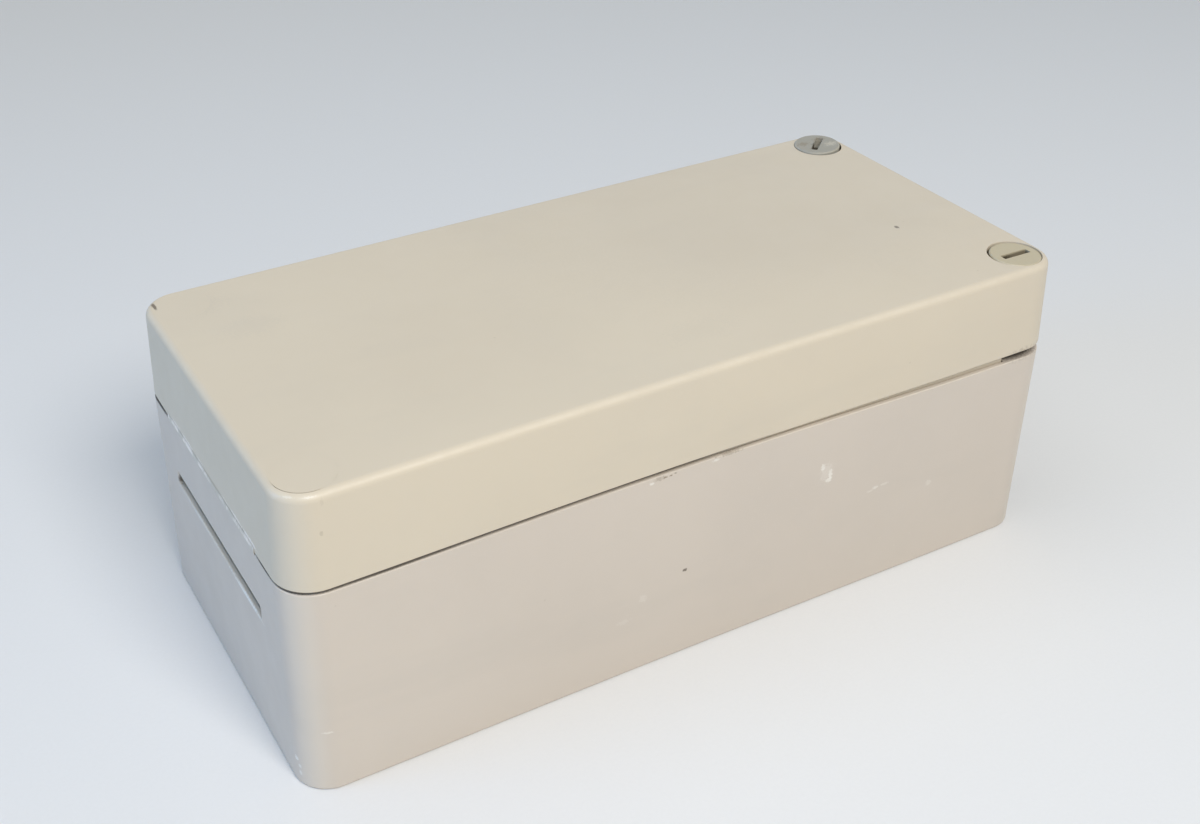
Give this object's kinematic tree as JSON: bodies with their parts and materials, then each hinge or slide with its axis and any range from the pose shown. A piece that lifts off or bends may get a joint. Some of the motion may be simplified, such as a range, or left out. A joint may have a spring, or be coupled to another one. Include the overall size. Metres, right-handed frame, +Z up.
{
  "type": "electrical enclosure",
  "caption": "Long moulded plastic electrical enclosure with a deep lid on a film hinge at one end, quarter-turn lid screws at the other end, a gasket in the seam and a mounting plate inside.",
  "frame": {"origin": "middle of the base's flat underside", "axes": "+Z up from the underside to the lid, +X along the length towards the lid screws, +Y towards the back"},
  "size_m": [0.2502, 0.1166, 0.0959],
  "materials": {
    "moulded_plastic": "satin moulded, pebble grey to beige, slightly soiled",
    "screw_plastic": "satin moulded, a little greyer than the lid",
    "strap_plastic": "satin, whitened where it has been bent",
    "gasket_rubber": "matt foam rubber",
    "steel": "plain zinc-plated",
    "galvanised_steel": "galvanised sheet with a faint spangle",
    "socket_brass": "plain turned"
  },
  "bodies": {
    "base": {"base": "moulded_plastic", "lid_gasket": "gasket_rubber", "hinge_strap": "strap_plastic", "front_bayonet_socket": "socket_brass", "rear_bayonet_socket": "socket_brass", "mounting_plate": "galvanised_steel", "plate_screws": "steel"},
    "lid": {"lid": "moulded_plastic", "front_corner_cap": "moulded_plastic", "rear_corner_cap": "moulded_plastic"},
    "front_screw": {"front_lid_screw": "screw_plastic", "front_cross_pin": "steel", "front_screw_clip": "steel"},
    "rear_screw": {"rear_lid_screw": "screw_plastic", "rear_cross_pin": "steel", "rear_screw_clip": "steel"}
  },
  "joints": [
    {"name": "lid_hinge", "type": "hinge", "parent": "base", "child": "lid", "pos_m": [-0.125, 0, 0.0661], "axis": [0, -1, 0], "range_deg": [0, 170], "deforming": ["hinge_strap"]},
    {"name": "front_screw_turn", "type": "hinge", "parent": "lid", "child": "front_screw", "pos_m": [0.11397, -0.0475, 0.09588], "axis": [-0.0079, 0, 1], "range_deg": [-88, 40]},
    {"name": "rear_screw_turn", "type": "hinge", "parent": "lid", "child": "rear_screw", "pos_m": [0.11397, 0.0475, 0.09588], "axis": [-0.0079, 0, 1], "range_deg": [-128, 0]}
  ]
}
